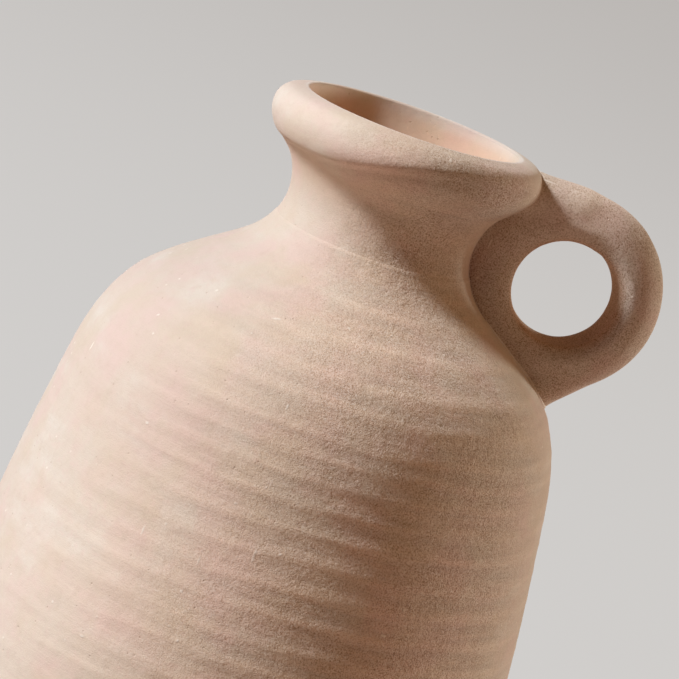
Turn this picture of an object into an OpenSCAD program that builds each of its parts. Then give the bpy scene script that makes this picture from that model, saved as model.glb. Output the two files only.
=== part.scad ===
// Wheel-thrown terracotta vase with a ring handle, in the pieces that are luted together with slip.
// Millimetres, +Z up. The origin is the middle of the face that it rests on, and the handle points along +X.

/* [Foot and body] */
// Radius of the foot, above its bevel
base_r = 56; // [40:0.5:68]
// Thickness of the floor slab at its middle
base_t = 9; // [6:0.5:14]
// Bevel round the foot
foot_bevel = 2; // [1:0.25:3]
// Lean of the wall at the foot, from the table
foot_lean = 56; // [45:1:75]
// Radius at the widest level
belly_r = 79; // [72:0.5:95]
// Height of the widest level above the foot's bevel
belly_rise = 84; // [60:1:120]
// Radius where the wall turns into the shoulder
turn_r = 70.8; // [62:0.2:76]
// Height from the widest level up to that turn
turn_rise = 85; // [60:1:110]
// Lean of the wall at the turn, from level
turn_lean = 80.5; // [70:0.5:86]

/* [Shoulder] */
// Radius at the lower end of the shoulder's slope
slope_r = 57.8; // [50:0.2:61]
// Height from the turn up to that end
slope_rise = 29.5; // [22:0.5:40]
// Fall of the slope at its lower end
slope_fall = 43; // [36:1:52]
// Radius where the slope meets the hollow under the neck
hollow_r = 36.8; // [33:0.2:44]
// Height from the slope's lower end up to that hollow
hollow_rise = 15.7; // [11:0.1:22]
// Fall of the slope at the hollow
hollow_fall = 36; // [28:1:44]

/* [Neck and rim] */
// Radius at the joint at the neck's foot
neck_foot_r = 28.7; // [26:0.1:32]
// Height from the hollow up to that joint
neck_foot_rise = 9.2; // [7:0.1:12]
// Lean of the wall at that joint, from level
neck_foot_lean = 65; // [50:1:80]
// Radius at the narrowest level
waist_r = 27; // [24:0.1:28.5]
// Height from the joint up to the narrowest level
waist_rise = 7; // [5:0.1:12]
// Radius under the rolled rim
under_r = 31.6; // [29:0.1:35]
// Height from the narrowest level up to there
under_rise = 12.2; // [9:0.1:18]
// Lean of the rim's underside, from level
under_lean = 45; // [35:1:60]
// Radius of the rim at its widest
rim_r = 39.1; // [36:0.1:46]
// Height from the rim's underside up to its widest level
rim_rise = 10.4; // [8:0.1:14]
// Height from the widest level up to the crest
crest_rise = 7; // [5:0.1:9]
// Radius of the crest
crest_r = 33; // [31.5:0.1:35]
// Radius of the lip's inner edge
lip_r = 30.2; // [27:0.1:31]
// Depth of the lip's inner edge below the crest
lip_drop = 0.6; // [0.3:0.1:1.5]
// Lean of the mouth's inside at the lip, from level
lip_lean = 62; // [50:1:80]

/* [Walls] */
// Wall at the foot
foot_wall = 8; // [6:0.25:11]
// Wall of the body
body_wall = 6.5; // [4.5:0.25:9]
// Wall of the shoulder
shoulder_wall = 6; // [4.5:0.25:8]
// Wall of the neck
neck_wall = 5; // [3.5:0.25:7]
// Size of the coil pressed into the angle of floor and wall
coil_size = 10; // [6:0.5:14]

/* [Throwing rings] */
// Height of one turn of the throwing rings
ring_pitch = 7.4; // [5:0.1:11]
// Depth of the furrows between the rings
ring_depth = 0.4; // [0.2:0.05:0.6]
// Height over which the rings fade out below the neck's foot
ring_fade = 26; // [18:1:40]

/* [Joints] */
// Thickness of the slip in a joint
slip_t = 0.8; // [0.5:0.1:1.2]
// Height that a joint climbs from the outside in, to centre the piece above
joint_climb = 2.5; // [1:0.25:4]
// Bead that the slip leaves round the neck's foot
bead = 0.4; // [0.2:0.05:0.8]
// Margin of slip round the handle's seat
slip_margin = 0.8; // [0.4:0.1:1.5]

/* [Handle] */
// Distance of the finger hole's middle from the vase's axis
handle_reach = 54.3; // [51:0.1:60]
// Depth of the finger hole's middle below the rim's crest
handle_drop = 31.8; // [29:0.1:34]
// Radius of the finger hole
hole_r = 13.8; // [12:0.1:15]
// Diameter of the handle's round section
grip_d = 14.8; // [13:0.1:17]
// Rise of the upper root from the ring to the rim
upper_rise = 3; // [0:0.5:6]
// Place on the ring where the lower root leaves it, below level
lower_angle = 45; // [40:1:52]
// Room kept between a root's skin and the ring's skin where the root leaves it
root_sink = 0.3; // [0.2:0.05:0.5]
// Thickness of the clay that joins the ring's near side to the neck
web_t = 8; // [5:0.5:10]

/* [Hidden] */
$fn = 96;

clay = [0.80, 0.67, 0.57];
clay_pale = [0.86, 0.76, 0.68];
clay_dark = [0.70, 0.54, 0.43];
slip_colour = [0.92, 0.86, 0.80];

// Heights of the stations, from the table up
z_belly = foot_bevel + belly_rise;
z_turn = z_belly + turn_rise;
z_slope = z_turn + slope_rise;
z_hollow = z_slope + hollow_rise;
z_neck_foot = z_hollow + neck_foot_rise;
z_waist = z_neck_foot + waist_rise;
z_under = z_waist + under_rise;
z_rim = z_under + rim_rise;
z_crest = z_rim + crest_rise;
z_lip = z_crest - lip_drop;

// Stations of the outer profile: radius, height, direction of the wall going up, wall thickness
stations = [
    [base_r, foot_bevel, foot_lean, foot_wall],
    [belly_r, z_belly, 90, body_wall],
    [turn_r, z_turn, 180 - turn_lean, body_wall],
    [slope_r, z_slope, 180 - slope_fall, shoulder_wall],
    [hollow_r, z_hollow, 180 - hollow_fall, shoulder_wall],
    [neck_foot_r, z_neck_foot, 180 - neck_foot_lean, neck_wall],
    [waist_r, z_waist, 90, neck_wall],
    [under_r, z_under, under_lean, neck_wall],
    [rim_r, z_rim, 90, neck_wall],
    [crest_r, z_crest, 180, neck_wall]
];
waist_station = 6;

// Stations of the mouth's inside, from the waist up to the lip
bore_r = waist_r - neck_wall;
mouth = [[bore_r, z_waist, 90, 0], [lip_r, z_lip, lip_lean, 0]];
lip_roll = [[lip_r, z_lip, lip_lean, 0], [crest_r, z_crest, 0, 0]];

// Spacing of the points along the profiles
ring_steps = 6;
fine_step = ring_pitch / ring_steps;
seat_step = 2.2;
inner_step = 5;
end_gap = 0.3;
lip_steps = 3;
coil_steps = 6;

// Point, outward normal and wall on the smooth curve from station a to station b, at t from 0 to 1
function curve(a, b, t) =
    let (
        chord = norm([b.x - a.x, b.y - a.y]),
        ma = chord * [cos(a[2]), sin(a[2])],
        mb = chord * [cos(b[2]), sin(b[2])],
        pa = [a.x, a.y],
        pb = [b.x, b.y],
        t2 = t * t,
        t3 = t2 * t,
        p = (2 * t3 - 3 * t2 + 1) * pa + (t3 - 2 * t2 + t) * ma + (3 * t2 - 2 * t3) * pb + (t3 - t2) * mb,
        d = (6 * t2 - 6 * t) * pa + (3 * t2 - 4 * t + 1) * ma + (6 * t - 6 * t2) * pb + (3 * t2 - 2 * t) * mb
    )
    [p, [d.y, -d.x] / norm(d), a[3] + t * (b[3] - a[3])];

// All the curve's samples through a list of stations, about one step apart
function samples(list, step) = [
    for (i = [0 : len(list) - 2])
        let (a = list[i], b = list[i + 1], n = ceil(norm([b.x - a.x, b.y - a.y]) / step))
            for (j = [0 : n - (i == len(list) - 2 ? 0 : 1)]) curve(a, b, j / n)
];

// Furrow depth at a height: full on the body, fading out towards the neck's foot
function furrow(z) =
    let (fade = min(1, max(0, (z_neck_foot - z) / ring_fade)))
    ring_depth * fade * (1 - cos(360 * (z - z_neck_foot) / ring_pitch)) / 2;

// Profiles as points
function skin(grow) = [for (s = samples(stations, seat_step)) s[0] + grow * s[1]];
lower_stations = [for (i = [0 : waist_station]) stations[i]];
ringed = [for (s = samples(stations, fine_step)) s[0] - furrow(s[0].y) * s[1]];
smooth_out = skin(0);
mouth_points = [for (s = samples(mouth, inner_step)) s[0]];
inside = concat(
    [for (s = samples(lower_stations, inner_step)) s[0] - s[2] * s[1]],
    [for (i = [1 : len(mouth_points) - 1]) mouth_points[i]]
);

// Radius of a profile at a height, and the part of it between two heights, going up
function radius(profile, z) = lookup(z, [for (p = profile) [p.y, p.x]]);
function between(profile, z0, z1) = concat(
    [[radius(profile, z0), z0]],
    [for (p = profile) if (p.y > z0 + end_gap && p.y < z1 - end_gap) p],
    [[radius(profile, z1), z1]]
);
function backwards(list) = [for (i = [len(list) - 1 : -1 : 0]) list[i]];

// Point at t on a hollow curve from a to b, drawn towards a corner
function hollow(a, corner, b, t) = (1 - t) * (1 - t) * a + 2 * t * (1 - t) * corner + t * t * b;

// Joints: height on the outside, and climb to the inside. The slip lies on top of the joint
base_joint = [base_t, 0];
body_joint = [z_belly, joint_climb];
neck_joint = [z_neck_foot, joint_climb];
rim_joint = [z_under, joint_climb];

// One section of the wall, from the slip on one joint up to the next joint
module wall_section(outer, low, high) {
    z_low = low[0] + slip_t;
    polygon(concat(
        between(outer, z_low, high[0]),
        backwards(between(inside, z_low + low[1], high[0] + high[1]))
    ));
}

// The slip in a joint, with a bead standing out of it
module slip_section(outer, joint, bulge) {
    z_out = joint[0];
    z_in = joint[0] + joint[1];
    polygon([
        [radius(outer, z_out), z_out],
        [radius(outer, z_out + slip_t / 2) + bulge, z_out + slip_t / 2],
        [radius(outer, z_out + slip_t), z_out + slip_t],
        [radius(inside, z_in + slip_t), z_in + slip_t],
        [radius(inside, z_in), z_in]
    ]);
}

// The whole vase as one filled form, grown by a layer of slip
module filled_form(grow) {
    rotate_extrude()
        polygon(concat([[0, foot_bevel]], skin(grow), [[0, z_crest + grow]]));
}

// The handle before it is fitted to the vase: a ring, two straight roots and a web to the neck
module ring_form(grow) {
    grip_r = grip_d / 2;
    ring_r = hole_r + grip_r;
    root_r = grip_r - root_sink;
    root_length = handle_reach - bore_r;
    z_hole = z_crest - handle_drop;
    translate([handle_reach, 0, z_hole]) {
        rotate([90, 0, 0])
            rotate_extrude()
                translate([ring_r, 0])
                    circle(r = grip_r + grow);
        translate([0, 0, ring_r])
            rotate([0, upper_rise - 90, 0])
                cylinder(r = root_r + grow, h = root_length);
        rotate([0, lower_angle, 0])
            translate([ring_r, 0, 0])
                rotate([0, 180, 0])
                    cylinder(r = root_r + grow, h = root_length);
        translate([-root_length, -web_t / 2 - grow, -ring_r])
            cube([root_length - ring_r, web_t + 2 * grow, 2 * ring_r]);
    }
}

module base_disc() {
    color(clay_dark)
        rotate_extrude()
            polygon(concat(
                [[0, 0], [base_r - foot_bevel, 0]],
                between(ringed, foot_bevel, base_t),
                [[0, base_t]]
            ));
}

module base_slip() {
    color(slip_colour)
        rotate_extrude()
            slip_section(ringed, base_joint, 0);
}

module base_coil() {
    z_wall = base_t + slip_t;
    z_top = z_wall + coil_size;
    corner = [radius(inside, base_t), base_t];
    tip = corner - [coil_size, 0];
    top = [radius(inside, z_top), z_top];
    color(clay_dark)
        rotate_extrude()
            polygon(concat(
                [tip, corner],
                between(inside, z_wall, z_top),
                [for (i = [1 : coil_steps - 1]) hollow(top, corner, tip, i / coil_steps)]
            ));
}

module lower_body() {
    color(clay)
        rotate_extrude()
            wall_section(ringed, base_joint, body_joint);
}

module body_slip() {
    color(slip_colour)
        rotate_extrude()
            slip_section(ringed, body_joint, 0);
}

module upper_body() {
    color(clay_pale)
        rotate_extrude()
            wall_section(ringed, body_joint, neck_joint);
}

module neck_slip() {
    color(slip_colour)
        rotate_extrude()
            slip_section(ringed, neck_joint, bead);
}

module neck() {
    color(clay)
        rotate_extrude()
            wall_section(smooth_out, neck_joint, rim_joint);
}

module rim_slip() {
    color(slip_colour)
        rotate_extrude()
            slip_section(smooth_out, rim_joint, 0);
}

module rim() {
    z_low = rim_joint[0] + slip_t;
    color(clay_pale)
        rotate_extrude()
            polygon(concat(
                between(smooth_out, z_low, z_crest),
                [for (i = [1 : lip_steps - 1]) curve(lip_roll[0], lip_roll[1], 1 - i / lip_steps)[0]],
                backwards(between(inside, z_low + rim_joint[1], z_lip))
            ));
}

module handle_slip() {
    color(slip_colour)
        difference() {
            intersection() {
                ring_form(slip_margin);
                filled_form(slip_t);
            }
            filled_form(0);
            neck_slip();
        }
}

module handle() {
    color(clay)
        difference() {
            ring_form(0);
            filled_form(slip_t);
        }
}

base_disc();
base_slip();
base_coil();
lower_body();
body_slip();
upper_body();
neck_slip();
neck();
rim_slip();
rim();
handle_slip();
handle();
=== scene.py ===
import math
from bisect import bisect
import bmesh
import bpy
from mathutils import Matrix, Vector, geometry, noise


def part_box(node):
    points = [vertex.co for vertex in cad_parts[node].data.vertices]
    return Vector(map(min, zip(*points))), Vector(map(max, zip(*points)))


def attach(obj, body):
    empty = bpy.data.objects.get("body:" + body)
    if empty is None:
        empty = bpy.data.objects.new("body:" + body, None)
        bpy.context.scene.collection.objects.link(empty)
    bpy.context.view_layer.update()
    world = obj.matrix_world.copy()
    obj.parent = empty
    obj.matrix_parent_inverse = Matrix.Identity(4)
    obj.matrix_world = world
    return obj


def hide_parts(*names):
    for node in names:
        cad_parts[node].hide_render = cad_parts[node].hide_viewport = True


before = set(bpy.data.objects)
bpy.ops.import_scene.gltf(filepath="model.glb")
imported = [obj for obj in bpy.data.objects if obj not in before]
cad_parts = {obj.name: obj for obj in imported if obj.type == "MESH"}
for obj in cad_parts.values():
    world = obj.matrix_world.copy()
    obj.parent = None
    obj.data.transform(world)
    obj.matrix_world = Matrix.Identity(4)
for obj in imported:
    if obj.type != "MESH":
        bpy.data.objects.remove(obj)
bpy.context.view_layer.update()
scene = bpy.context.scene
scene.view_settings.view_transform = "Standard"
mm = 0.001
weld = 1e-6   # points closer than this are one
print("frame loaded:", len(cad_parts), "nodes")

# the potter's outer line, going up: radius, height, lean of the wall from level in degrees, wall
vaseLine = {
    "foot": (56.0, 2.0, 56, 8.0),
    "belly": (79.0, 86.0, 90, 6.5),
    "turn": (70.8, 171.0, 99.5, 6.5),
    "slope": (57.8, 200.5, 137, 6.0),
    "hollow": (36.8, 216.2, 144, 6.0),
    "neckFoot": (28.7, 225.4, 115, 5.0),
    "waist": (27.0, 232.4, 90, 5.0),
    "under": (31.6, 244.6, 45, 5.0),
    "rim": (39.1, 255.0, 90, 5.0),
    "side": (38.35, 258.0, 113, 5.0),
    "brow": (37.2, 259.6, 136, 5.0),
    "top": (35.6, 260.6, 158, 5.0),
    "crest": (31.5, 261.65, 170, 5.0),
}
mouthLine = {
    "bore": (22.0, 232.4, 90, 0.0),
    "lip": (30.55, 260.8, 78, 0.0),
}
lipLine = {
    "lip": mouthLine["lip"],
    "edge": (30.75, 261.3, 52, 0.0),
    "crest": (31.5, 261.65, 8, 0.0),
}
# how close the points of each line stand, in mm
lineStep = {"body": 1.1, "rim": 0.6, "inside": 4.0, "mouth": 1.5, "lip": 0.25}


def heading(lean):
    return Vector((math.cos(math.radians(lean)), 0, math.sin(math.radians(lean))))


def smoothLine(stations, step):
    # points through the stations in the XZ plane, each with its wall, about one step apart
    line = []
    for (r0, z0, lean0, wall0), (r1, z1, lean1, wall1) in zip(stations, stations[1:]):
        low, high = Vector((r0, 0, z0)) * mm, Vector((r1, 0, z1)) * mm
        reach = (high - low).length / 3
        count = max(4, round(3 * reach / (step * mm)))
        points = geometry.interpolate_bezier(
            low, low + reach * heading(lean0), high - reach * heading(lean1), high, count + 1)
        line += [(p, mm * (wall0 + (wall1 - wall0) * i / count)) for i, p in enumerate(points[:-1])]
    return line + [(high, mm * wall1)]


def ease(value, start, end):
    # 0 before the start, 1 after the end, and a soft change between them
    t = min(1, max(0, (value - start) / (end - start)))
    return t * t * (3 - 2 * t)


def normals(points):
    found = []
    for i in range(len(points)):
        along = points[min(i + 1, len(points) - 1)] - points[max(i - 1, 0)]
        found.append(Vector((along.z, 0, -along.x)).normalized())
    return found


def stretchAt(points, z):
    # the stretch of a rising line that a height falls in, and how far along it
    i = min(max(bisect(points, z, key=lambda p: p.z), 1), len(points) - 1)
    share = (z - points[i - 1].z) / max(points[i].z - points[i - 1].z, 1e-9)
    return i, min(1, max(0, share))


def atHeight(points, z):
    i, share = stretchAt(points, z)
    return points[i - 1].lerp(points[i], share)


def between(points, zLow, zHigh):
    # the stretch of a rising line from one height to another, cut at both
    apart = 0.1 * mm   # no point stands closer to a cut
    kept = [p for p in points if zLow + apart < p.z < zHigh - apart]
    return [atHeight(points, zLow)] + kept + [atHeight(points, zHigh)]


stations = list(vaseLine.values())
waist, underRim = (list(vaseLine).index(name) for name in ("waist", "under"))
bodyLine = smoothLine(stations[:underRim + 1], lineStep["body"])
rimLine = smoothLine(stations[underRim:], lineStep["rim"])
outerSkin = [p for p, wall in bodyLine + rimLine[1:]]
outerNormals = normals(outerSkin)
lowerWall = smoothLine(stations[:waist + 1], lineStep["inside"])
lowerNormals = normals([p for p, wall in lowerWall])
innerSkin = [p - n * wall for (p, wall), n in zip(lowerWall, lowerNormals)]
innerSkin += [p for p, wall in smoothLine(list(mouthLine.values()), lineStep["mouth"])][1:]
lipRoll = [p for p, wall in smoothLine(list(lipLine.values()), lineStep["lip"])]


def skinNormal(z):
    i, share = stretchAt(outerSkin, z)
    return outerNormals[i - 1].lerp(outerNormals[i], share)


# joints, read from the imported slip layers
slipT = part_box("base_slip")[1].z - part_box("base_slip")[0].z
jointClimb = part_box("body_slip")[1].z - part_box("body_slip")[0].z - slipT
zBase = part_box("base_slip")[0].z
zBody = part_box("body_slip")[0].z
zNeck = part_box("neck_slip")[0].z
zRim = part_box("rim_slip")[0].z
print("joints at", [round(z / mm, 1) for z in (zBase, zBody, zNeck, zRim)], "mm")

# marks of the potter's hands, in mm, with noise to the metre
throwing = {
    "ridges": (90.0, 98.7, 106.3, 113.3, 121.4, 128.7, 136.5, 144.1, 151.9, 159.5, 166.8, 173.5,
               179.6, 184.7, 192.5, 199.2, 206.8),  # heights of the ridges at the front
    "front": math.radians(-96),    # where the ridges were read
    "pitch": 7.5,                  # below and above the ridges that were read
    "narrow": 2.6,                 # the higher, the narrower the ridges
    "depth": (0.04, 0.40),         # on the smooth side and on the deep side
    "deepSide": math.radians(-36),
    "ringEnd": (-70, -28, 0.85),   # sides in degrees between which the rings grow faint, and how much
    "ridgeEnd": (-70, -28, 0.2),   # the ridges' painted light and shade goes on longer
    "sandEnd": (-52, -16, 0.42),   # and the sand
    "fade": (203.0, 224.0),        # heights between which the furrows run out
    "patchy": (0.9, 0.9, 0.3),     # share of the depth, and its change in broad and in small patches
    "patchLeast": 0.1,
    "patchNoise": (26, 26, 60),
    "patchStart": (7, 1, 3),
    "patchSmall": 90,
    "wander": 0.16,                # how far a ridge strays, in turns
    "wanderNoise": (38, 95, 0.5),  # broad, fine and the share of the fine
    "wobble": 0.22,                # slow unevenness of the hand
    "wobbleNoise": 22,
    "drag": 0.07,                  # fine finger lines along the rings
    "dragNeck": 0.3,               # the share of them above the rings
    "dragNoise": (40, 40, 900),
    "swell": 0.1,                  # how far the shoulder swells below the neck's joint
    "swellReach": 3.0,
    "step": 0.15,                  # how far the neck's foot stands back above it
    "stepHeight": 3.5,             # and how high that reaches
    "stepUneven": (0.75, 0.6, 45),
    "fold": 0.9,                   # how much fuller the rim is on one side
    "foldSide": math.radians(-106),
    "foldRound": (0.05, 0.65),     # where it starts and is full, as a cosine from that side
    "foldRadius": (33.0, 37.0),    # and by radius
    "foldHeight": (248.6, 257.6),  # it climbs round the rim from one height to the other
    "foldClimb": (-141, -66),      # between these sides, in degrees
    "foldReach": (1.7, 4.0),       # crisp below, soft above
    "crease": (0.4, -3.2, 1.5),    # under the fold: depth, height and reach
}
# painted light and shade, as paler and darker patches: side in degrees, height, how far round and up it
# reaches, paler or darker
paintedLightPatches = {
    "front": (-104, 150, 45, 200, 1.0),
    "low": (-131, 100, 40, 45, 0.6),
    "shoulder": (-171, 215, 50, 30, -0.7),
    "middle": (-108, 140, 32, 42, 0.8),
    "nearHandle": (-70, 211, 38, 13, 1.1),
    "neckSide": (-34, 238, 25, 9, 1.0),
    "rim": (-120, 258, 45, 8, 0.8),
    "rimSide": (-53, 254, 36, 7, -1.7),
    "mouth": (30, 258, 60, 20, 0.8),   # of the inside only
}
# painted shade: redder where the clay lies in shade, at the body's dark side, under the rim and on the rim's
# right side
shadeRedPatches = {
    "front": (-86, 150, 42, 300, 1.0),
    "underRim": (-146, 243, 42, 6, 0.8),
    "rimSide": (-54, 255, 35, 7, 0.8),
}
insideShadeReach = (-0.5, 4.0)   # painted shade: mm below the lip between which the inside turns darker


def uneven(place, even, swing, scale):
    return even + swing * noise.noise(place * scale)


def waver(place, broad, fine, share):
    # broad noise with a share of fine noise in it
    return noise.noise(place * broad) + share * noise.noise(place * fine)


def ringTurn(z):
    # how many turns of the wheel lie below a height, at the front
    ridges = throwing["ridges"]
    height = z / mm
    if height <= ridges[0]:
        return (height - ridges[0]) / throwing["pitch"]
    for i, (a, b) in enumerate(zip(ridges, ridges[1:])):
        if height <= b:
            return i + (height - a) / (b - a)
    return len(ridges) - 1 + (height - ridges[-1]) / throwing["pitch"]


def sandiness(angle):
    # 0 on the smooth side of the vase, 1 on the side with deep rings and coarse sand
    return 0.5 + 0.5 * math.cos(angle - throwing["deepSide"])


def fainter(angle, start, end, share):
    # what is left past the sides where something runs out
    return 1 - share * ease(math.degrees(angle), start, end)


def patchAt(patches, place, angle, leftOut=""):
    # the sum of all the patches that reach a point
    total = 0
    for side, height, spread, up, amount in (patches[key] for key in patches if key != leftOut):
        turned = (math.cos(angle - math.radians(side)) - 1) / (1 - math.cos(math.radians(spread)))
        total += amount * math.exp(turned - ((place.z / mm - height) / up) ** 2)
    return total


def jointStep(place):
    # the neck stands back a little above its joint, and the shoulder swells below it
    up = (place.z - zNeck) / mm
    rise = slipT / mm
    swell = throwing["swell"]
    step = throwing["step"] * uneven(place, *throwing["stepUneven"])
    if up < 0:
        return swell * math.exp(up / throwing["swellReach"])
    if up < rise:
        return swell - (swell + step) * up / rise
    return -step * math.exp((rise - up) / throwing["stepHeight"])


def rimFold(place, angle):
    # a slanting fold on the rim's side, with a crease under it
    low, high = throwing["foldHeight"]
    up = place.z / mm - low - (high - low) * ease(math.degrees(angle), *throwing["foldClimb"])
    depth, below, reach = throwing["crease"]
    here = throwing["fold"] * math.exp(-(up / throwing["foldReach"][up > 0]) ** 2)
    here -= depth * math.exp(-((up - below) / reach) ** 2)
    here *= ease(math.hypot(place.x, place.y) / mm, *throwing["foldRadius"])
    return here * ease(math.cos(angle - throwing["foldSide"]), *throwing["foldRound"])


def handMarks(place):
    # how far the hand left this point of the skin from the smooth line, and how much of a ridge it is
    angle = math.atan2(place.y, place.x)
    turn = ringTurn(place.z) - (angle - throwing["front"]) / (2 * math.pi)
    turn += throwing["wander"] * waver(place, *throwing["wanderNoise"])
    crest = (0.5 + 0.5 * math.cos(2 * math.pi * turn)) ** throwing["narrow"]
    share, broad, small = throwing["patchy"]
    broken = place * Vector(throwing["patchNoise"]) + Vector(throwing["patchStart"])
    share += broad * noise.noise(broken) + small * noise.noise(place * throwing["patchSmall"])
    fade = 1 - ease(place.z / mm, *throwing["fade"])
    shallow, deep = throwing["depth"]
    furrow = shallow + (deep - shallow) * sandiness(angle) ** 2 * fainter(angle, *throwing["ringEnd"])
    furrow *= fade * max(throwing["patchLeast"], share) * (1 - crest)
    drag = throwing["drag"] * (throwing["dragNeck"] + (1 - throwing["dragNeck"]) * fade)
    drag *= noise.noise(place * Vector(throwing["dragNoise"]))
    wobble = throwing["wobble"] * noise.noise(place * throwing["wobbleNoise"])
    joint = jointStep(place) + rimFold(place, angle)
    return mm * (wobble + drag + joint - furrow), crest * fade


def spinPiece(skin, back, steps, openAtAxis=False):
    # spins a section, closed or with both ends on the axis, and notes which points are the outer skin
    bm = bmesh.new()
    isSkin = bm.verts.layers.float.new("skin")
    verts = [bm.verts.new(p) for p in skin + back]
    for i, v in enumerate(verts):
        v[isSkin] = 1.0 if i < len(skin) else 0.0
    edges = [bm.edges.new(pair) for pair in zip(verts, verts[1:])]
    if not openAtAxis:
        edges.append(bm.edges.new((verts[-1], verts[0])))
    bmesh.ops.spin(bm, geom=verts + edges, cent=(0, 0, 0), axis=(0, 0, 1),
                   angle=2 * math.pi, steps=steps, use_merge=True)
    bmesh.ops.remove_doubles(bm, verts=bm.verts, dist=weld)
    bmesh.ops.recalc_face_normals(bm, faces=bm.faces)
    return bm


def pressMarks(bm):
    # presses the hand marks into the skin, and notes for the material the sand, the painted light and shade,
    # the painted redder shade and the painted shade inside
    isSkin = bm.verts.layers.float["skin"]
    ridge = bm.verts.layers.float.new("ridge")
    sandy = bm.verts.layers.float.new("sandy")
    paintedLightAndTone = bm.verts.layers.float.new("paintedLightAndTone")
    shadeRed = bm.verts.layers.float.new("shadeRed")
    inside = bm.verts.layers.float.new("inside")
    for v in bm.verts:
        angle = math.atan2(v.co.y, v.co.x)
        v[sandy] = sandiness(angle) * fainter(angle, *throwing["sandEnd"])
        v[paintedLightAndTone] = patchAt(paintedLightPatches, v.co, angle, "mouth" if v[isSkin] > 0.5 else "")
        v[shadeRed] = patchAt(shadeRedPatches, v.co, angle)
        # the inside gets painted shade, darker away from the lip
        if v[isSkin] < 0.5:
            v[inside] = ease(lipLine["lip"][1] - v.co.z / mm, *insideShadeReach)
        else:
            move, crest = handMarks(v.co)
            n = skinNormal(v.co.z)
            out = Vector((v.co.x, v.co.y, 0)).normalized()
            v[ridge] = crest * fainter(angle, *throwing["ridgeEnd"])
            v.co += move * (out * n.x + Vector((0, 0, n.z)))


def finishPiece(bm, name, node, material, sharp=38):
    # edges turned by more than the sharp angle, in degrees, stay crisp
    for face in bm.faces:
        face.smooth = True
    for edge in bm.edges:
        edge.smooth = edge.calc_face_angle(0) < math.radians(sharp)
    mesh = bpy.data.meshes.new(name)
    bm.to_mesh(mesh)
    bm.free()
    piece = bpy.data.objects.new(name, mesh)
    scene.collection.objects.link(piece)
    mesh.materials.append(material)
    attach(piece, "root")
    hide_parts(node)
    print(name, "done:", len(mesh.polygons), "faces")
    return piece


def put(tree, kind, values=None, **settings):
    # one node, with its settings and socket values
    made = tree.nodes.new(kind)
    for key, value in settings.items():
        setattr(made, key, value)
    for key, value in (values or {}).items():
        made.inputs[key].default_value = value
    return made


def wire(tree, source, target, socket, output=0):
    tree.links.new(source.outputs[output], target.inputs[socket])
    return target


def ranged(tree, source, fromLow, fromHigh, toLow, toHigh, output=0):
    made = put(tree, "ShaderNodeMapRange", {1: fromLow, 2: fromHigh, 3: toLow, 4: toHigh}, clamp=True)
    return wire(tree, source, made, 0, output)


colourSockets = {"under": 6, "over": 7, "result": 2}   # of a Mix node that is set to colours


def tint(tree, base, layer, factor, blend="MULTIPLY"):
    # lays a node's value or a colour over a colour, by a fixed or a linked factor
    made = put(tree, "ShaderNodeMix", data_type="RGBA", blend_type=blend)
    result = colourSockets["result"] if base.bl_idname == "ShaderNodeMix" else 0
    wire(tree, base, made, colourSockets["under"], result)
    if isinstance(layer, tuple):
        made.inputs[colourSockets["over"]].default_value = (*layer, 1)
    else:
        wire(tree, layer, made, colourSockets["over"])
    if isinstance(factor, (int, float)):
        made.inputs[0].default_value = factor
    else:
        wire(tree, factor, made, 0)
    return made


def sums(tree, a, b, operation="ADD"):
    # two nodes, or a node and a number
    made = put(tree, "ShaderNodeMath", operation=operation)
    wire(tree, a, made, 0)
    if isinstance(b, (int, float)):
        made.inputs[1].default_value = b
    else:
        wire(tree, b, made, 1)
    return made


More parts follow.
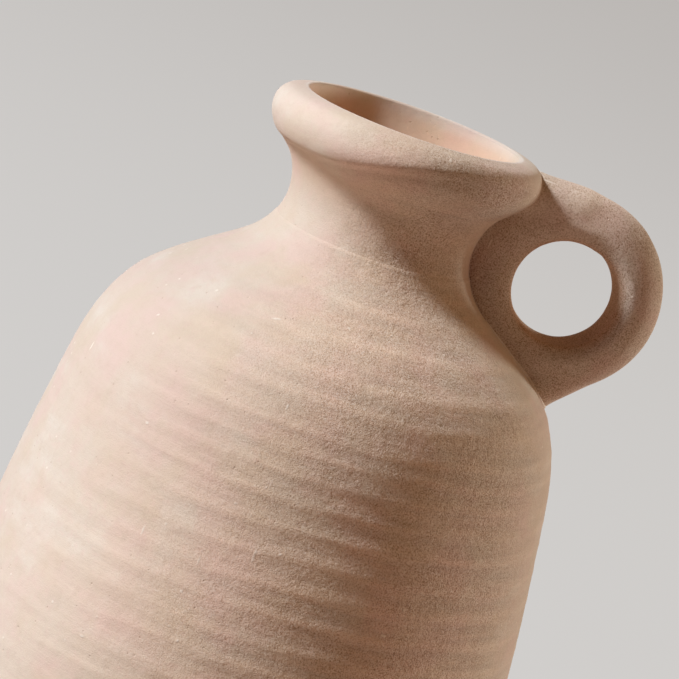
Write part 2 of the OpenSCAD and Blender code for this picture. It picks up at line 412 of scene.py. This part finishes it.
# noise is to the metre, then its detail and roughness; relief is in mm
clay = {
    "peach": (0.775, 0.628, 0.515),
    "rose": (0.770, 0.605, 0.500),
    "buff": (0.765, 0.640, 0.525),
    "cream": (0.810, 0.705, 0.600),
    "pink": (0.800, 0.592, 0.510),
    "ochre": (0.748, 0.602, 0.468),
    "burnt": (0.560, 0.395, 0.285),
    "bloom": (0.900, 0.830, 0.760),
    "chalk": (0.940, 0.820, 0.695),   # of flecks and scratches
    "shadeRedTint": (1.000, 0.915, 0.830),   # of the painted redder shade
    "insideShade": (0.940, 0.790, 0.675),   # painted shade inside, away from the lip
    "soot": (0.580, 0.490, 0.410),    # of the dark grains
    "ground": (26, 3, 0.55),          # broad patches from rose over peach to buff
    "groundTurn": (0.36, 0.64),
    # smaller patches: colour, noise, squeeze upwards, aside, where they start and are full, strength
    "patches": (
        ("cream", (36, 4, 0.55), 2.2, 1.3, 0.50, 0.64, 0.70),
        ("pink", (62, 3, 0.50), 1.0, 0.0, 0.48, 0.66, 0.75),
        ("ochre", (62, 3, 0.50), 1.0, 0.7, 0.50, 0.68, 0.75),
        ("pink", (430, 2, 0.60), 1.0, 0.4, 0.52, 0.75, 0.35),
        ("ochre", (430, 2, 0.60), 1.0, 0.4, 0.48, 0.25, 0.35),
    ),
    "freckles": (("burnt", (380, 3, 0.60), 1.0, 0.0, 0.52, 0.80, 0.20),),
    "paleness": (-1.7, 2.3, 0.717, 1.17),   # from the darkest to the palest painted light and shade
    "streaks": (42, 6, 0.62),
    "streak": 10,                     # how much they are drawn out along the rings
    "streakTone": (0.3, 0.7, 0.86, 1.11),
    "ridgeTone": (0.955, 1.08),       # of furrows and ridges: painted shade in the furrows and painted light on the ridges, partly paler wear on the crests
    "ringSide": (0.35, 0.85, 0.06, 1),      # where streaks and ridges begin to show
    "grain": (2600, 2, 0.6),
    "grit": (1.25, 0.6),              # how strong the dark and the pale grains are
    "darkGrain": (0.52, 0.32),
    "paleGrain": (0.50, 0.70),
    "clumps": (70, 3, 0.6, 1.0, 0.9),       # in which the grain is stronger, with squeeze and aside
    "clumpTone": (0.35, 0.65, 0.6, 1),
    "sandSide": (0.5, 0.9),           # where the grain begins to show
    "sandLow": 0.06,                  # how much of it shows on the smooth side
    # small marks: colour, cells to the metre, size, share of the cells, turn, stretch, strength, relief
    "marks": (
        ("chalk", 330, 0.17, 0.09, (0, 0, 0), (1, 1, 1), 0.70, 0.06),             # flecks
        ("chalk", 260, 0.12, 0.12, (0.5, 0.3, 0.6), (1, 1, 0.14), 0.80, 0.06),    # scratches
        ("chalk", 230, 0.11, 0.10, (1.1, -0.4, 0.2), (0.16, 1, 1), 0.70, 0.06),   # strokes
        ("burnt", 560, 0.20, 0.14, (0, 0, 0), (1, 1, 1), 0.45, -0.08),            # pits
    ),
    "markCore": 0.4,                  # share of a mark's size that is full
    "markFade": 0.6,                  # share of the marks that are full, the others are fainter
    "lighterLine": 0.6,                      # how pale the lighter edges are: painted highlights on the lip and the hole's back edge, and paler slip
    # relief: noise, aside, height, and between which sides it grows, from which share to which
    "dents": ((130, 2, 0.5), 0.0, 0.13),
    "lines": (0.15, (0.3, 0.85, 0.25, 1)),        # with the noise of the streaks
    "lumps": ((340, 4, 0.65), 1.7, 0.17, (0.5, 0.9, 0.15, 1.4)),
    "crumbs": ((800, 2, 0.6), 0.3, 0.04),
    "sand": (0.06, (0.3, 0.8, 0.45, 1.3)),        # with the noise of the grain
    "noiseSpan": (0.2, 0.8),          # most of a noise lies between these
    "rough": 0.92,
    "gloss": 0.22,
    "sheen": (0.06, 0.6),
}


def clayMaterial(name, look):
    material = bpy.data.materials.new(name)
    material.use_nodes = True
    tree = material.node_tree
    tree.nodes.clear()
    where = put(tree, "ShaderNodeTexCoord")

    def noiseAt(scale, detail, rough, squeeze=1.0, aside=0.0):
        made = put(tree, "ShaderNodeTexNoise", {"Scale": scale, "Detail": detail, "Roughness": rough})
        drawn = put(tree, "ShaderNodeMapping", {"Scale": (1, 1, squeeze), "Location": (aside, aside, aside)})
        wire(tree, where, drawn, "Vector", "Object")
        return wire(tree, drawn, made, "Vector")

    def specks(scale, size, share, turn, stretch):
        # a share of the cells of a Voronoi pattern, as small spots
        drawn = put(tree, "ShaderNodeMapping", {"Rotation": turn, "Scale": stretch})
        wire(tree, where, drawn, "Vector", "Object")
        cells = wire(tree, drawn, put(tree, "ShaderNodeTexVoronoi", {"Scale": scale}), "Vector")
        spot = ranged(tree, cells, size, look["markCore"] * size, 0, 1, "Distance")
        pick = wire(tree, cells, put(tree, "ShaderNodeSeparateColor"), 0, "Color")
        chosen = ranged(tree, pick, 1 - share, 1 - look["markFade"] * share, 0, 1)
        return sums(tree, spot, chosen, "MULTIPLY")

    def byLayer(layer, fromLow, fromHigh, toLow, toHigh):
        # a value that follows one of the mesh's own layers
        noted = put(tree, "ShaderNodeAttribute", attribute_name=layer)
        return ranged(tree, noted, fromLow, fromHigh, toLow, toHigh, "Fac")

    def patched(colour, patches):
        for shade, noiseKind, squeeze, aside, start, full, strength in patches:
            spots = noiseAt(*noiseKind, squeeze, aside)
            colour = tint(tree, colour, look[shade], ranged(tree, spots, start, full, 0, strength), "MIX")
        return colour

    def raised(spots, height):
        return ranged(tree, spots, *look["noiseSpan"], 0, height)

    # colour, from the broad patches down to the grain
    ground = put(tree, "ShaderNodeValToRGB")
    roseEnd, buffEnd = ground.color_ramp.elements
    roseEnd.position, buffEnd.position = look["groundTurn"]
    roseEnd.color = (*look["rose"], 1)
    buffEnd.color = (*look["buff"], 1)
    ground.color_ramp.elements.new(sum(look["groundTurn"]) / 2).color = (*look["peach"], 1)
    wire(tree, noiseAt(*look["ground"]), ground, 0)
    colour = patched(ground, look["patches"])
    # painted light and shade in paler and darker patches, and the paler slip
    colour = tint(tree, colour, byLayer("paintedLightAndTone", *look["paleness"]), 1.0)
    # painted shade: redder where the clay lies in shade
    colour = tint(tree, colour, look["shadeRedTint"], byLayer("shadeRed", 0, 1, 0, 1))
    colour = patched(colour, look["freckles"])
    ringSide = byLayer("sandy", *look["ringSide"])
    streaks = noiseAt(*look["streaks"], look["streak"])
    colour = tint(tree, colour, ranged(tree, streaks, *look["streakTone"]), ringSide)
    # darker furrows and paler ridges: painted shade and light of the rings, partly wear on the crests
    colour = tint(tree, colour, byLayer("ridge", 0, 1, *look["ridgeTone"]), ringSide)
    grain = noiseAt(*look["grain"])
    clumps = ranged(tree, noiseAt(*look["clumps"]), *look["clumpTone"])
    clumps = sums(tree, byLayer("sandy", *look["sandSide"], look["sandLow"], 1), clumps, "MULTIPLY")
    darkGrain = ranged(tree, grain, *look["darkGrain"], 0, look["grit"][0])
    paleGrain = ranged(tree, grain, *look["paleGrain"], 0, look["grit"][1])
    colour = tint(tree, colour, look["soot"], sums(tree, darkGrain, clumps, "MULTIPLY"))
    colour = tint(tree, colour, look["bloom"], sums(tree, paleGrain, clumps, "MULTIPLY"), "MIX")
    markRelief = []
    for shade, scale, size, share, turn, stretch, strength, height in look["marks"]:
        spots = specks(scale, size, share, turn, stretch)
        colour = tint(tree, colour, look[shade], sums(tree, spots, strength, "MULTIPLY"), "MIX")
        markRelief.append(sums(tree, spots, height, "MULTIPLY"))
    # painted highlights on the lip and the hole's back edge, and paler patches of slip
    colour = tint(tree, colour, look["bloom"], byLayer("lighterEdge", 0, 1, 0, look["lighterLine"]), "MIX")
    # painted shade inside the mouth and on the finger hole's wall
    colour = tint(tree, colour, look["insideShade"], byLayer("inside", 0, 1, 0, 1))

    # relief in millimetres, from soft dents down to sand
    dentNoise, aside, height = look["dents"]
    relief = raised(noiseAt(*dentNoise, aside=aside), height)
    height, lineSide = look["lines"]
    lines = sums(tree, raised(streaks, height), byLayer("sandy", *lineSide), "MULTIPLY")
    lumpNoise, aside, height, lumpSide = look["lumps"]
    lumps = raised(noiseAt(*lumpNoise, aside=aside), height)
    lumps = sums(tree, lumps, byLayer("sandy", *lumpSide), "MULTIPLY")
    crumbNoise, aside, height = look["crumbs"]
    crumbs = raised(noiseAt(*crumbNoise, aside=aside), height)
    height, sandSide = look["sand"]
    sand = sums(tree, crumbs, raised(grain, height))
    sand = sums(tree, sand, byLayer("sandy", *sandSide), "MULTIPLY")
    for layer in [lines, lumps, sand] + markRelief:
        relief = sums(tree, relief, layer)
    bump = put(tree, "ShaderNodeBump", {"Strength": 1.0, "Distance": mm})
    wire(tree, relief, bump, "Height")

    shader = put(tree, "ShaderNodeBsdfPrincipled", {
        "Roughness": look["rough"], "Specular IOR Level": look["gloss"],
        "Sheen Weight": look["sheen"][0], "Sheen Roughness": look["sheen"][1]})
    wire(tree, colour, shader, "Base Color", colourSockets["result"])
    wire(tree, bump, shader, "Normal")
    wire(tree, shader, put(tree, "ShaderNodeOutputMaterial"), "Surface")
    return material


clayBody = clayMaterial("clayBody", clay)
clayNeck = clayMaterial("clayNeck", {**clay, "streak": 4})
clayRim = clayMaterial("clayRim", {**clay, "streak": 3})
clayHandle = clayMaterial("clayHandle", {**clay, "streak": 1, "sandLow": 1.0, "grit": (1.3, 0.5)})
clayBase = clayMaterial("clayBase", {**clay, "streak": 2})
slipClay = clayMaterial("slipClay", {**clay, "streak": 1})
print("clay mixed")

# walls, from the floor up: node, lower end and its climb inwards, upper end and its climb,
# slot, material and steps round
wallPieces = {
    "lowerBody": ("lower_body", zBase + slipT, 0, zBody, jointClimb, "clay_body", clayBody, 360),
    "upperBody": ("upper_body", zBody + slipT, jointClimb, zNeck, jointClimb, "clay_body", clayBody, 360),
    "neckWall": ("neck", zNeck + slipT, jointClimb, zRim, jointClimb, "clay_neck", clayNeck, 300),
}
for name, (node, zLow, climbLow, zHigh, climbHigh, slotName, material, steps) in wallPieces.items():
    skin = between(outerSkin, zLow, zHigh)
    back = between(innerSkin, zLow + climbLow, zHigh + climbHigh)[::-1]
    wall = spinPiece(skin, back, steps)
    pressMarks(wall)
    finishPiece(wall, name, node, material)

rolledRim = {
    "steps": 360,
    "lighterLine": 0.7,               # how far the painted highlight along the lip reaches on both sides of the crest, in mm
    "lighterLineBelow": 0.2,          # and below the lip
    "lighterLineUneven": (0.75, 0.5, 120),
}
rimSkin = between(outerSkin, zRim + slipT, outerSkin[-1].z)
rimBack = between(innerSkin, zRim + slipT + jointClimb, lipRoll[0].z)[::-1]
rimWall = spinPiece(rimSkin + lipRoll[::-1][1:-1], rimBack, rolledRim["steps"])
lighterEdge = rimWall.verts.layers.float.new("lighterEdge")
# a painted highlight along the lip's edge
for v in rimWall.verts:
    away = abs(math.hypot(v.co.x, v.co.y) / mm - lipLine["crest"][0]) / rolledRim["lighterLine"]
    if v.co.z / mm > lipLine["lip"][1] - rolledRim["lighterLineBelow"] and away < 1:
        v[lighterEdge] = (1 - away) * uneven(v.co, *rolledRim["lighterLineUneven"])
pressMarks(rimWall)
finishPiece(rimWall, "rolledRim", "rim", clayRim)

# layers of slip in the joints: node, height, climb inwards, bead in mm, material
slips = {
    "baseSlip": ("base_slip", zBase, 0, 0.0, clayBody),
    "bodySlip": ("body_slip", zBody, jointClimb, 0.0, clayBody),
    "neckSlip": ("neck_slip", zNeck, jointClimb, 0.09, slipClay),
    "rimSlip": ("rim_slip", zRim, jointClimb, 0.0, clayRim),
}
slipBead = {
    "steps": 360,
    "height": 0.45 * slipT,         # of the bead above the joint's lower edge
    "reach": 0.2 * slipT,
    "side": math.radians(-110),     # where it stands out most
    "least": 0.25,                  # share of it on the other side
    "uneven": (0.7, 0.9, 70),
    "unevenLeast": 0.1,
    "lift": 0.5,                    # how much it points upwards
}
for name, (node, z, climb, bead, material) in slips.items():
    beadZ = z + slipBead["height"]
    skin = [atHeight(outerSkin, height) for height in (z, beadZ, z + slipT)]
    back = between(innerSkin, z + climb, z + climb + slipT)[::-1]
    layer = spinPiece(skin, back, slipBead["steps"])
    isSkin = layer.verts.layers.float["skin"]
    for v in layer.verts:
        if bead and v[isSkin] > 0.5 and abs(v.co.z - beadZ) < slipBead["reach"]:
            near = max(0, math.cos(math.atan2(v.co.y, v.co.x) - slipBead["side"]))
            rise = bead * mm * (slipBead["least"] + (1 - slipBead["least"]) * near)
            rise *= max(slipBead["unevenLeast"], uneven(v.co, *slipBead["uneven"]))
            up = math.hypot(v.co.x, v.co.y) * slipBead["lift"]
            v.co += rise * Vector((v.co.x, v.co.y, up)).normalized()
    pressMarks(layer)
    finishPiece(layer, name, node, material)

floorSlab = {"bevel": 2.0, "steps": 360}
underside = vaseLine["foot"][0] - floorSlab["bevel"]
slabSkin = [Vector((0, 0, 0)), Vector((underside * mm, 0, 0))] + between(outerSkin, outerSkin[0].z, zBase)
slab = spinPiece(slabSkin, [Vector((0, 0, zBase))], floorSlab["steps"], openAtAxis=True)
finishPiece(slab, "baseDisc", "base_disc", clayBase)

coil = {"size": 10.0, "hollowSteps": 8, "steps": 240}
corner = Vector((atHeight(innerSkin, zBase).x, 0, zBase))
tip = corner - Vector((coil["size"] * mm, 0, 0))
coilTop = atHeight(innerSkin, zBase + slipT + coil["size"] * mm)
hollow = geometry.interpolate_bezier(
    coilTop, coilTop.lerp(corner, 2 / 3), tip.lerp(corner, 2 / 3), tip, coil["hollowSteps"] + 1)
coilBack = between(innerSkin, zBase + slipT, coilTop.z)
roll = spinPiece(hollow[:-1], [tip, corner] + coilBack[:-1], coil["steps"])
finishPiece(roll, "baseCoil", "base_coil", clayBase)

handle = {
    "middle": (54.3, 0.0, 230.2),   # of the finger hole
    "hole": 14.5,
    # half of the ring's section, from the hole outwards: distance from the hole, half thickness, lean
    "section": ((0.0, 0.0, 90), (0.0, 4.4, 90), (0.8, 5.7, 38),
                (4.8, 7.3, 0), (10.6, 5.3, -42), (14.55, 0.0, -90)),
    "sectionStep": 0.8,
    "steps": 120,
    # strap to the rim and root to the shoulder: x, z and radius
    "strap": ((67.5, 245.8, 4.8), (60.0, 250.8, 6.4), (52.0, 252.7, 7.3), (30.0, 252.2, 7.4)),
    "root": ((70.7, 213.8, 5.5), (46.7, 192.6, 7.1)),
    "rootSides": 48,
    "overlap": 0.7,                 # of one stretch with the next
    "web": ((14.0, 213.0), (35.0, 248.0)),   # the clay between ring and neck: two corners, x and z
    "webThick": 7.0,
    "voxel": 0.55,
    "smooth": 4,
    "blend": 46,                    # more smoothing where ring, strap and root meet
    "blendFrom": 5.5,               # that far from the hole's edge
    "blendClear": 1.5,              # and that far out of the skin
    "wobble": 0.22,
    "wobbleNoise": (40, 150, 0.3),
    "flare": 1.4,                   # the hole is wider in front, on its far side
    "flareSide": (0.955, 0.0, -0.30),
    "flareReach": (0.5, 6.0),       # going out from the hole
    "flareFront": (-3.0, 4.0),      # going to the front
    "seat": -0.75,                  # how deep the roots go into the skin
    "cutFrom": 150.0,               # the cutter's lower end
    "cutSteps": 180,
    # painted light on the strap and painted shade on the ring's outer side and by the neck: x, z, reach,
    # paler or darker
    "paintedLightPatches": ((54.0, 256.0, 10.0, 1.7), (70.0, 236.0, 6.0, -1.1), (31.0, 229.0, 8.0, -1.0)),
    # painted shade: the whole handle a little redder, as it lies in shade
    "shadeRedPatches": 0.5,
    "holeReach": 3.0,               # the hole's wall is looked for that far from its edge
    "holeFacing": (0.45, 0.85),
    "holeBack": (3.0, 4.5),         # the painted shade on the hole's wall ends towards the back
    "lighterEdgeBack": (3.5, 4.5),         # where the painted highlight on the hole's back edge begins
    "sharp": 50,
}


def addRoot(bm, stops):
    # round stretches of clay from stop to stop
    for (x0, z0, r0), (x1, z1, r1) in zip(stops, stops[1:]):
        a, b = Vector((x0, 0, z0)) * mm, Vector((x1, 0, z1)) * mm
        b += (b - a).normalized() * handle["overlap"] * mm
        place = Matrix.Translation((a + b) / 2) @ (b - a).to_track_quat("Z", "Y").to_matrix().to_4x4()
        bmesh.ops.create_cone(bm, cap_ends=True, segments=handle["rootSides"], radius1=r0 * mm,
                              radius2=r1 * mm, depth=(b - a).length, matrix=place)


def skinBlock(offset, zLow, steps):
    # the vase's outside as one solid, moved in or out, above a height
    skin = [p + n * offset * mm for p, n in zip(outerSkin, outerNormals) if p.z > zLow * mm]
    return spinPiece(skin, [Vector((0, 0, skin[-1].z)), Vector((0, 0, skin[0].z))], steps)


def evaluated(piece):
    # the mesh that a piece's modifiers make
    graph = bpy.context.evaluated_depsgraph_get()
    return bpy.data.meshes.new_from_object(piece.evaluated_get(graph))


def standsOut(place):
    # how far a point stands out of the vase's skin
    return math.hypot(place.x, place.y) - atHeight(outerSkin, place.z).x


def smooth(bm, verts, times):
    for i in range(times):
        bmesh.ops.smooth_vert(bm, verts=verts, factor=0.5, use_axis_x=True, use_axis_y=True, use_axis_z=True)


# a ring spun round the finger hole, with a strap to the rim and a root to the shoulder
middle = Vector(handle["middle"]) * mm
half = [p for p, wall in smoothLine([(*stop, 0) for stop in handle["section"]], handle["sectionStep"])]
around = half + [Vector((p.x, 0, -p.z)) for p in half[-2:0:-1]]
bm = bmesh.new()
section = [bm.verts.new(middle + Vector((handle["hole"] * mm + p.x, p.z, 0))) for p in around]
sectionEdges = [bm.edges.new((section[i - 1], v)) for i, v in enumerate(section)]
bmesh.ops.spin(bm, geom=section + sectionEdges, cent=middle, axis=(0, 1, 0),
               angle=2 * math.pi, steps=handle["steps"], use_merge=True)
addRoot(bm, handle["strap"])
addRoot(bm, handle["root"])
(webX0, webZ0), (webX1, webZ1) = handle["web"]
webPlace = Matrix.Translation(Vector((webX0 + webX1, 0, webZ0 + webZ1)) * mm / 2)
webSize = Matrix.Diagonal((mm * (webX1 - webX0), mm * handle["webThick"], mm * (webZ1 - webZ0), 1))
bmesh.ops.create_cube(bm, size=1, matrix=webPlace @ webSize)
bmesh.ops.remove_doubles(bm, verts=bm.verts, dist=weld)
bmesh.ops.recalc_face_normals(bm, faces=bm.faces)
roughHandle = bpy.data.objects.new("roughHandle", bpy.data.meshes.new("roughHandle"))
bm.to_mesh(roughHandle.data)
bm.free()
scene.collection.objects.link(roughHandle)
remesh = roughHandle.modifiers.new("clay", "REMESH")
remesh.mode = "VOXEL"
remesh.voxel_size = handle["voxel"] * mm
bm = bmesh.new()
bm.from_mesh(evaluated(roughHandle))
roughHandle.modifiers.clear()
print("handle formed:", len(bm.faces), "faces")

# the stretches blend into each other, the hole opens to the front, and the hand leaves it uneven
smooth(bm, bm.verts[:], handle["smooth"])
joined = []
for v in bm.verts:
    fromHole = math.hypot(v.co.x - middle.x, v.co.z - middle.z) - handle["hole"] * mm
    if fromHole > handle["blendFrom"] * mm and standsOut(v.co) > handle["blendClear"] * mm:
        joined.append(v)
smooth(bm, joined, handle["blend"])
flareSide = Vector(handle["flareSide"])
for v in bm.verts:
    away = Vector((v.co.x - middle.x, 0, v.co.z - middle.z))
    near = 1 - ease(away.length / mm - handle["hole"], *handle["flareReach"])
    front = ease(-v.co.y / mm, *handle["flareFront"])
    away.normalize()
    v.co += away * handle["flare"] * mm * near * front * max(0, away.dot(flareSide))
bm.normal_update()
for v in bm.verts:
    v.co += v.normal * handle["wobble"] * mm * waver(v.co, *handle["wobbleNoise"])
bm.to_mesh(roughHandle.data)

# the seam round the seat, from the edges that pass through the skin
bm.verts.index_update()
bm.edges.index_update()
out = [standsOut(v.co) for v in bm.verts]
seam = {}
for face in bm.faces:
    hits = []
    for edge in face.edges:
        a, b = edge.verts
        outA, outB = out[a.index], out[b.index]
        if (outA > 0) != (outB > 0):
            hits.append((edge.index, a.co.lerp(b.co, outA / (outA - outB))))
    if len(hits) == 2:
        for (i, p), (j, q) in (hits, hits[::-1]):
            seam.setdefault(i, [p]).append(j)
bm.free()
loops = []
left = set(seam)
while left:
    at = min(left)
    left.discard(at)
    loop = [seam[at][0]]
    while True:
        onward = [j for j in seam[at][1:] if j in left]
        if not onward:
            break
        at = onward[0]
        left.discard(at)
        loop.append(seam[at][0])
    loops.append(loop)
seatLoop = max(loops, key=len)
print("seams:", [len(loop) for loop in loops])

# the handle is cut to sit on the skin
cutter = skinBlock(handle["seat"], handle["cutFrom"], handle["cutSteps"])
cutterObject = bpy.data.objects.new("cutter", bpy.data.meshes.new("cutter"))
cutter.to_mesh(cutterObject.data)
cutter.free()
scene.collection.objects.link(cutterObject)
cut = roughHandle.modifiers.new("seat", "BOOLEAN")
cut.operation = "DIFFERENCE"
cut.object = cutterObject
cut.solver = "EXACT"
bm = bmesh.new()
bm.from_mesh(evaluated(roughHandle))
bmesh.ops.remove_doubles(bm, verts=bm.verts, dist=weld)
bpy.data.objects.remove(roughHandle)
bpy.data.objects.remove(cutterObject)
inside = bm.verts.layers.float.new("inside")
lighterEdge = bm.verts.layers.float.new("lighterEdge")
paintedLightAndTone = bm.verts.layers.float.new("paintedLightAndTone")
shadeRed = bm.verts.layers.float.new("shadeRed")
bm.normal_update()
# painted shade: the handle a little redder and its hole's wall darker; a painted highlight on the hole's back
# edge; painted light and shade in patches
for v in bm.verts:
    v[shadeRed] = handle["shadeRedPatches"]
    for x, z, reach, amount in handle["paintedLightPatches"]:
        v[paintedLightAndTone] += amount * math.exp(-((v.co.x / mm - x) ** 2 + (v.co.z / mm - z) ** 2) / reach ** 2)
    away = Vector((v.co.x - middle.x, 0, v.co.z - middle.z))
    if away.length < (handle["hole"] + handle["holeReach"]) * mm:
        facing = ease(-v.normal.dot(away.normalized()), *handle["holeFacing"])
        v[inside] = facing * (1 - ease(v.co.y / mm, *handle["holeBack"]))
        v[lighterEdge] = ease(v.co.y / mm, *handle["lighterEdgeBack"])
finishPiece(bm, "ringHandle", "handle", clayHandle, handle["sharp"])

# slip squeezed out round the seat
seatBead = {
    "radius": 0.7,
    "roundness": 3,
    "smooth": 6,
    "thinner": 0.85,            # how much of it is missing higher up
    "thinnerFrom": (210.0, 218.0),
    "uneven": (0.75, 0.5, 160),
    # the slip is paler in patches
    "lighterEdge": (0.8, 0.6, 60),
    "paintedLightAndTone": 1.6,
    "sharp": 60,
}
for i in range(seatBead["smooth"]):
    count = len(seatLoop)
    seatLoop = [(seatLoop[k - 1] + 2 * p + seatLoop[(k + 1) % count]) / 4 for k, p in enumerate(seatLoop)]
beadPath = bpy.data.curves.new("handleSlip", "CURVE")
beadPath.dimensions = "3D"
beadPath.bevel_depth = seatBead["radius"] * mm
beadPath.bevel_resolution = seatBead["roundness"]
spline = beadPath.splines.new("POLY")
spline.use_cyclic_u = True
spline.points.add(len(seatLoop) - 1)
for point, p in zip(spline.points, seatLoop):
    point.co = (*p, 1)
    point.radius = 1 - seatBead["thinner"] * ease(p.z / mm, *seatBead["thinnerFrom"])
    point.radius *= uneven(p, *seatBead["uneven"])
pathObject = bpy.data.objects.new("path", beadPath)
scene.collection.objects.link(pathObject)
bm = bmesh.new()
bm.from_mesh(evaluated(pathObject))
bpy.data.objects.remove(pathObject)
lighterEdge = bm.verts.layers.float.new("lighterEdge")
paintedLightAndTone = bm.verts.layers.float.new("paintedLightAndTone")
for v in bm.verts:
    v[lighterEdge] = max(0, uneven(v.co, *seatBead["lighterEdge"]))
    v[paintedLightAndTone] = seatBead["paintedLightAndTone"] * v[lighterEdge]
finishPiece(bm, "handleSlip", "handle_slip", slipClay, seatBead["sharp"])

# floor, light and camera
stageLook = {
    "floor": (0.62, 0.605, 0.59),     # what the camera sees
    "paint": 0.35,                    # the share of it that takes the vase's shadow
    "glow": 0.72,                     # and the share that is always there
    "bounce": (0.20, 0.125, 0.075),   # what lights the vase
    "fill": (0.207, 0.170, 0.168),
    "ambient": (0.002, 0.002, 0.002),
    "card": (0.595, 0.333, 0.150),    # a soft warm card on the handle's side
    "cardSide": (95, 22),             # right of the camera and up, in degrees
    "size": 8.0,                      # from the vase to the floor's edges, in metres
}
view = {
    "target": (0.0, 0.0, 0.1967),   # what the camera is aimed at, in metres
    "down": 11.6,       # degrees below level
    "turn": 6.0,        # the handle points this far away from the camera
    "distance": 0.896,
    "field": 12.113,    # degrees across the picture
    "roll": 19.5,       # the vase leans to the right in the picture
    "aside": 0.00027,   # how far the camera stands to its right
    "near": 0.05,       # nothing closer to the camera is drawn
}


def seenRays(tree):
    # 1 for rays that show the stage: from the camera, off gloss and through glass
    rays = put(tree, "ShaderNodeLightPath")
    both = put(tree, "ShaderNodeMath", operation="MAXIMUM")
    wire(tree, rays, both, 0, "Is Camera Ray")
    wire(tree, rays, both, 1, "Is Glossy Ray")
    three = wire(tree, both, put(tree, "ShaderNodeMath", operation="MAXIMUM"), 0)
    return wire(tree, rays, three, 1, "Is Transmission Ray")


def added(tree, a, b):
    made = wire(tree, a, put(tree, "ShaderNodeAddShader"), 0)
    return wire(tree, b, made, 1)


def shown(tree, unseen, seen):
    # one shader for what lights the vase and another for what the camera sees
    made = wire(tree, seenRays(tree), put(tree, "ShaderNodeMixShader"), 0)
    wire(tree, unseen, made, 1)
    return wire(tree, seen, made, 2)


def floorMaterial():
    material = bpy.data.materials.new("floorPaint")
    material.use_nodes = True
    tree = material.node_tree
    tree.nodes.clear()
    dull = tuple(stageLook["paint"] * c for c in stageLook["floor"])
    paint = put(tree, "ShaderNodeBsdfDiffuse", {"Color": (*dull, 1)})
    glow = put(tree, "ShaderNodeEmission", {"Color": (*stageLook["floor"], 1), "Strength": stageLook["glow"]})
    bounce = put(tree, "ShaderNodeBsdfDiffuse", {"Color": (*stageLook["bounce"], 1)})
    fill = put(tree, "ShaderNodeEmission", {"Color": (*stageLook["fill"], 1), "Strength": 1.0})
    surface = shown(tree, added(tree, bounce, fill), added(tree, paint, glow))
    wire(tree, surface, put(tree, "ShaderNodeOutputMaterial"), "Surface")
    return material


def fromView(azimuth, elevation):
    # direction from the vase, by angles to the right of the camera and up
    a = math.radians(azimuth - view["turn"])
    e = math.radians(elevation)
    return Vector((math.sin(a) * math.cos(e), -math.cos(a) * math.cos(e), math.sin(e)))


def studioWorld():
    world = bpy.data.worlds.new("studio")
    world.use_nodes = True
    tree = world.node_tree
    tree.nodes.clear()
    ambient = put(tree, "ShaderNodeBackground", {"Color": (*stageLook["ambient"], 1), "Strength": 1.0})
    card = put(tree, "ShaderNodeBackground", {"Color": (*stageLook["card"], 1)})
    facing = put(tree, "ShaderNodeVectorMath", {1: fromView(*stageLook["cardSide"])}, operation="DOT_PRODUCT")
    wire(tree, put(tree, "ShaderNodeTexCoord"), facing, 0)
    facing = ranged(tree, facing, 0, 1, 0, 1, "Value")
    wire(tree, sums(tree, facing, facing, "MULTIPLY"), card, "Strength")
    backdrop = put(tree, "ShaderNodeBackground", {"Color": (*stageLook["floor"], 1), "Strength": 1.0})
    surface = shown(tree, added(tree, ambient, card), backdrop)
    wire(tree, surface, put(tree, "ShaderNodeOutputWorld"), "Surface")
    return world


bm = bmesh.new()
bmesh.ops.create_grid(bm, x_segments=1, y_segments=1, size=stageLook["size"])
floorMesh = bpy.data.meshes.new("floor")
bm.to_mesh(floorMesh)
bm.free()
floor = bpy.data.objects.new("floor", floorMesh)
scene.collection.objects.link(floor)
floorMesh.materials.append(floorMaterial())
scene.world = studioWorld()

target = Vector(view["target"])
toCamera = fromView(0, view["down"])
turned = (-toCamera).to_track_quat("-Z", "Y").to_matrix()
side = turned @ Vector((1, 0, 0))
rolled = turned @ Matrix.Rotation(math.radians(view["roll"]), 3, "Z")
cameraPlace = target + view["distance"] * toCamera + view["aside"] * side
cameraData = bpy.data.cameras.new("camera")
cameraData.angle = math.radians(view["field"])
cameraData.clip_start = view["near"]
camera = bpy.data.objects.new("camera", cameraData)
scene.collection.objects.link(camera)
camera.matrix_world = Matrix.Translation(cameraPlace) @ rolled.to_4x4()
scene.camera = camera

lamps = {
    "key": {
        "azimuth": -75, "elevation": 36, "distance": 4.0,
        "size": 0.7, "power": 200.0, "colour": (0.933, 1.0, 1.072),
    },
    "edge": {
        "azimuth": 118, "elevation": 8, "distance": 2.0,
        "size": 0.4, "power": 16.0, "colour": (0.950, 1.0, 0.943),
    },
}
for name, lamp in lamps.items():
    data = bpy.data.lights.new(name, "AREA")
    data.shape = "DISK"
    data.size = lamp["size"]
    data.energy = lamp["power"]
    data.color = lamp["colour"]
    lampObject = bpy.data.objects.new(name, data)
    scene.collection.objects.link(lampObject)
    aim = fromView(lamp["azimuth"], lamp["elevation"])
    lampObject.location = target + lamp["distance"] * aim
    lampObject.rotation_euler = aim.to_track_quat("Z", "Y").to_euler()
print("stage lit")
